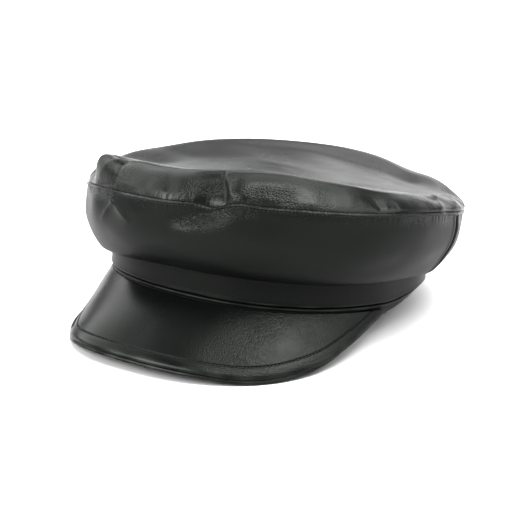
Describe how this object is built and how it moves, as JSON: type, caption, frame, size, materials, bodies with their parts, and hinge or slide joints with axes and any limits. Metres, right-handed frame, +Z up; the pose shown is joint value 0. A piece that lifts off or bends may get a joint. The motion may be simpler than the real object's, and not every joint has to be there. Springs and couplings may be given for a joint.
{
  "type": "leather fisherman's cap",
  "caption": "Black leather fisherman's cap with a soft puffed crown, an upright headband with a strap round it and a short curved peak.",
  "frame": {"origin": "the middle of the cap's footprint, on the surface that it lies on", "axes": "+Z up from that surface, -Y the way the peak points, +X to the right of a viewer who faces the peak"},
  "size_m": [0.2312, 0.268, 0.1156],
  "materials": {
    "soft_leather": "soft black hide with a fine grain and a satin shine",
    "band_leather": "smooth black hide with a low shine",
    "peak_leather": "smooth black hide, stretched tight, with a broad soft shine"
  },
  "bodies": {
    "root": {"crown_top": "soft_leather", "crown_side_front": "soft_leather", "crown_side_back": "soft_leather", "headband": "band_leather", "hat_band": "band_leather", "peak_top": "peak_leather", "peak_under": "peak_leather"}
  },
  "joints": []
}
